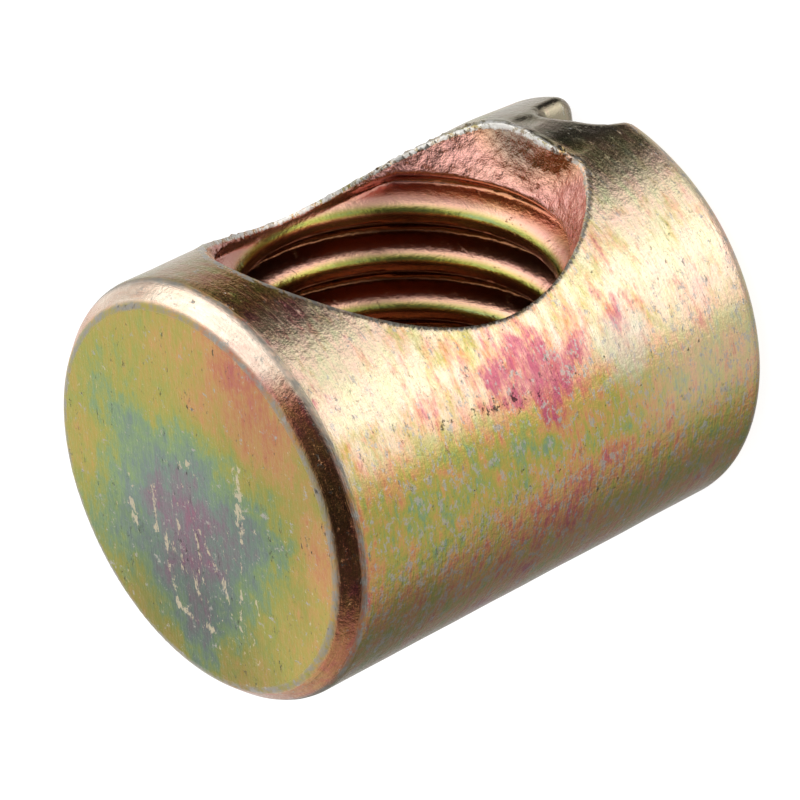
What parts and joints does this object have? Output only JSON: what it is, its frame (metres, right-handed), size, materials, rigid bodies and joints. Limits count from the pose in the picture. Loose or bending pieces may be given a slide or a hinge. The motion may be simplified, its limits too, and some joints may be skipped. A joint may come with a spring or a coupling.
{
  "type": "barrel nut",
  "caption": "Plated steel barrel nut: a short cylinder with a blind, countersunk threaded hole across it and a driver slot pressed into one end.",
  "frame": {"origin": "on the barrel's axis, at the slotted end, which stands on z = 0", "axes": "+Z along the barrel's axis to the plain end; the threaded hole and the driver slot run along Y, and the mouth that the picture shows faces -Y"},
  "size_m": [0.012, 0.012, 0.0154],
  "materials": {
    "plated_steel": "zinc plated with an iridescent yellow chromate, circumferential brush marks, worn silver at the edges"
  },
  "bodies": {
    "root": {"barrel_nut": "plated_steel"}
  },
  "joints": []
}
